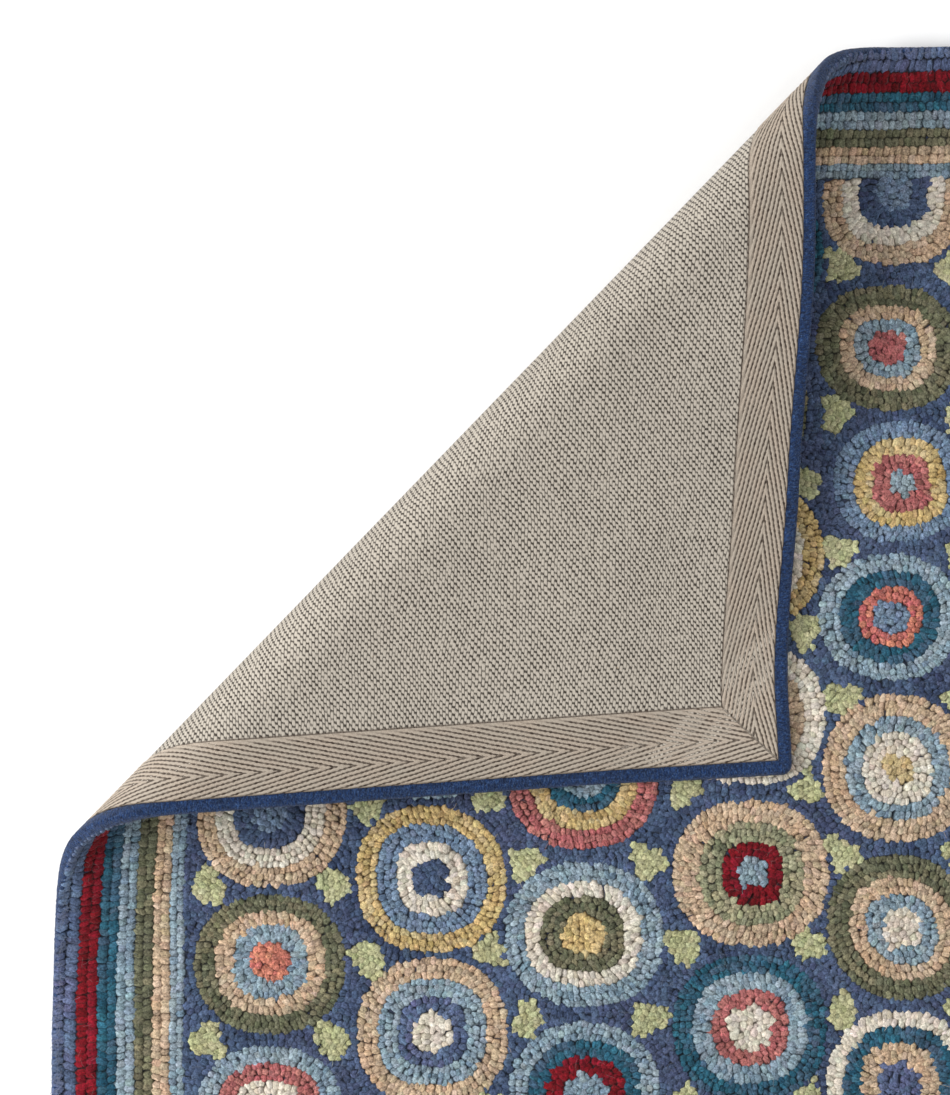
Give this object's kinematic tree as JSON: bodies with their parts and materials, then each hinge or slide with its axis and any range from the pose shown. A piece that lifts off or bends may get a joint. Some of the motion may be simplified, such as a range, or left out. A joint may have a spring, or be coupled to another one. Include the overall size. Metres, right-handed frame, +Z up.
{
  "type": "hooked rug",
  "caption": "Rectangular hooked wool rug lying flat, with one corner turned over diagonally to show the bound cloth back.",
  "frame": {"origin": "centre of the bounding box at the floor, under the middle of the rug", "axes": "+Z up from the floor, +Y along the rug's length towards the end with the turned corner, +X across its width; the turned corner is at -X +Y"},
  "size_m": [0.61, 0.914, 0.0578],
  "materials": {
    "looped_wool": "matt looped wool pile in many colours on a navy ground",
    "blue_yarn": "matt wrapped wool yarn",
    "backing": "matt unbleached plain-woven cloth",
    "tape": "matt herringbone twill tape"
  },
  "bodies": {
    "root": {"hooked_pile": "looped_wool", "edge_whipping": "blue_yarn", "backing_cloth": "backing", "tape_left": "tape", "tape_top": "tape", "tape_right": "tape", "tape_bottom": "tape"}
  },
  "joints": []
}
